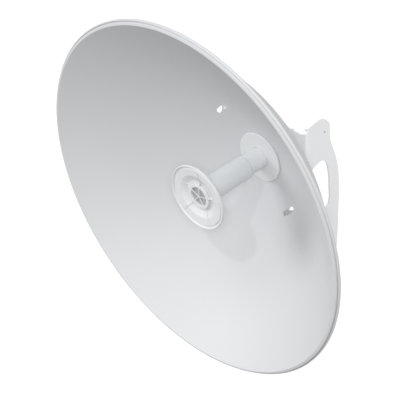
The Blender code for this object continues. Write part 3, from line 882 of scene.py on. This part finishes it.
def view_axes(azimuth, elevation):
    """Right, up and backward directions of a look at the object from an angle."""
    right = Vector((cos(azimuth), sin(azimuth), 0))
    back = Vector((sin(azimuth) * cos(elevation), -cos(azimuth) * cos(elevation), sin(elevation)))
    return right, back.cross(right), back


def add_to_scene(name, data, place, axes):
    item = bpy.data.objects.new(name, data)
    bpy.context.scene.collection.objects.link(item)
    item.location = place
    item.rotation_euler = Matrix(axes).transposed().to_euler()
    return item


def add_camera(stage):
    right, up, back = view_axes(stage.azimuth, stage.elevation)
    lens = bpy.data.cameras.new("photo_camera")
    lens.lens = stage.lens
    lens.sensor_width = 36.0
    lens.clip_end = 60.0
    aim = Vector((0, FLANGE_Y - stage.aim, AXIS_Z)) + right * stage.aim_right + up * stage.aim_up
    bpy.context.scene.camera = add_to_scene("photo_camera", lens, aim + back * stage.distance,
                                            (right, up, back))


def add_lamps(lamps):
    for name in names_in(lamps):
        azimuth, elevation, size, strength = getattr(lamps, name)
        axes = view_axes(radians(azimuth), radians(elevation))
        light = bpy.data.lights.new(f"{name}_lamp", "SUN")
        light.energy = strength
        light.angle = radians(size)
        add_to_scene(f"{name}_lamp", light, axes[2] * LAMP_DISTANCE, axes)


def add_sky(stage, finishes):
    world = bpy.data.worlds.new("even_sky")
    world.use_nodes = True
    sky = world.node_tree.nodes["Background"]
    sky.inputs["Color"].default_value = opaque(finishes.sky)
    sky.inputs["Strength"].default_value = stage.sky_strength
    bpy.context.scene.world = world


def add_floor(stage, finishes):
    deselect_all()
    bpy.ops.mesh.primitive_plane_add(size=stage.floor_size, location=(0, 0, -stage.floor_drop))
    floor = bpy.context.active_object
    floor.name = "floor"
    floor.visible_diffuse = False
    graph = Graph("pale_floor")
    shade = graph.mix(graph.noise(0.3), opaque(finishes.floor, 0.99), opaque(finishes.floor, 1.02))
    floor.data.materials.append(graph.finish(base_color=shade, roughness=0.9))


def make_stage(stage, lamps, finishes):
    add_camera(stage)
    add_floor(stage, finishes)
    add_lamps(lamps)
    add_sky(stage, finishes)
    bpy.context.scene.view_settings.view_transform = "Standard"


# Operators


class ANTENNA_OT_reflector(bpy.types.Operator):
    """Models the painted reflector with its rolled edge and slots"""

    bl_idname = "antenna.reflector"
    bl_label = "Reflector"

    def execute(self, context):
        scene = context.scene
        make_reflector(scene.antenna_dish, scene.antenna_rear, scene.antenna_finishes)
        return {"FINISHED"}


class ANTENNA_OT_feed(bpy.types.Operator):
    """Models the flange, the sleeve and the tube of the feed"""

    bl_idname = "antenna.feed"
    bl_label = "Feed tube"

    def execute(self, context):
        scene = context.scene
        make_feed(scene.antenna_feed, scene.antenna_rear, scene.antenna_finishes)
        return {"FINISHED"}


class ANTENNA_OT_cap(bpy.types.Operator):
    """Models the ribbed cap at the front of the feed"""

    bl_idname = "antenna.cap"
    bl_label = "Front cap"

    def execute(self, context):
        make_cap(context.scene.antenna_cap, context.scene.antenna_finishes)
        return {"FINISHED"}


class ANTENNA_OT_bracket(bpy.types.Operator):
    """Models the folded bracket"""

    bl_idname = "antenna.bracket"
    bl_label = "Bracket"

    def execute(self, context):
        make_bracket(context.scene.antenna_rear, context.scene.antenna_finishes)
        return {"FINISHED"}


class ANTENNA_OT_fasteners(bpy.types.Operator):
    """Models the screws and washers behind the web"""

    bl_idname = "antenna.fasteners"
    bl_label = "Screws and washers"

    def execute(self, context):
        make_fasteners(context.scene.antenna_rear, context.scene.antenna_finishes)
        return {"FINISHED"}


class ANTENNA_OT_rear(bpy.types.Operator):
    """Models the gasket, the lock ring and the rear housing"""

    bl_idname = "antenna.rear"
    bl_label = "Rear housing"

    def execute(self, context):
        make_rear(context.scene.antenna_rear, context.scene.antenna_finishes)
        return {"FINISHED"}


class ANTENNA_OT_cover(bpy.types.Operator):
    """Models the cover behind the rear housing"""

    bl_idname = "antenna.cover"
    bl_label = "Rear cover"

    def execute(self, context):
        make_cover(context.scene.antenna_rear, context.scene.antenna_finishes)
        return {"FINISHED"}


class ANTENNA_OT_connectors(bpy.types.Operator):
    """Models the two coaxial sockets"""

    bl_idname = "antenna.connectors"
    bl_label = "Coaxial sockets"

    def execute(self, context):
        make_connectors(context.scene.antenna_rear, context.scene.antenna_finishes)
        return {"FINISHED"}


class ANTENNA_OT_stage(bpy.types.Operator):
    """Adds the floor, the lamps and the camera"""

    bl_idname = "antenna.stage"
    bl_label = "Stage"

    def execute(self, context):
        scene = context.scene
        make_stage(scene.antenna_stage, scene.antenna_lamps, scene.antenna_finishes)
        return {"FINISHED"}


class ANTENNA_PT_dressing(bpy.types.Panel):
    """Sizes, colours and pieces of the dish antenna"""

    bl_label = "Dish Antenna"
    bl_idname = "ANTENNA_PT_dressing"
    bl_space_type = "VIEW_3D"
    bl_region_type = "UI"
    bl_category = "Dish Antenna"

    def draw(self, context):
        for group in (getattr(context.scene, name) for name in SETTINGS):
            box = self.layout.box()
            for name in names_in(group):
                box.prop(group, name)
        for operator in OPERATORS:
            self.layout.operator(operator.bl_idname)


SETTINGS = {
    "antenna_dish": DishSizes,
    "antenna_feed": FeedSizes,
    "antenna_cap": CapSizes,
    "antenna_rear": RearSizes,
    "antenna_finishes": Finishes,
    "antenna_lamps": Lamps,
    "antenna_stage": StageSizes,
}
OPERATORS = (
    ANTENNA_OT_reflector,
    ANTENNA_OT_feed,
    ANTENNA_OT_cap,
    ANTENNA_OT_bracket,
    ANTENNA_OT_fasteners,
    ANTENNA_OT_rear,
    ANTENNA_OT_cover,
    ANTENNA_OT_connectors,
    ANTENNA_OT_stage,
)
CLASSES = (*SETTINGS.values(), *OPERATORS, ANTENNA_PT_dressing)


def register():
    for item in CLASSES:
        bpy.utils.register_class(item)
    for name, group in SETTINGS.items():
        setattr(bpy.types.Scene, name, PointerProperty(type=group))


def unregister():
    for name in SETTINGS:
        delattr(bpy.types.Scene, name)
    for item in reversed(CLASSES):
        bpy.utils.unregister_class(item)


def main():
    register()
    for step in ("reflector", "feed", "cap", "bracket", "fasteners", "rear", "cover",
                 "connectors", "stage"):
        getattr(bpy.ops.antenna, step)()


if __name__ == "__main__":
    main()
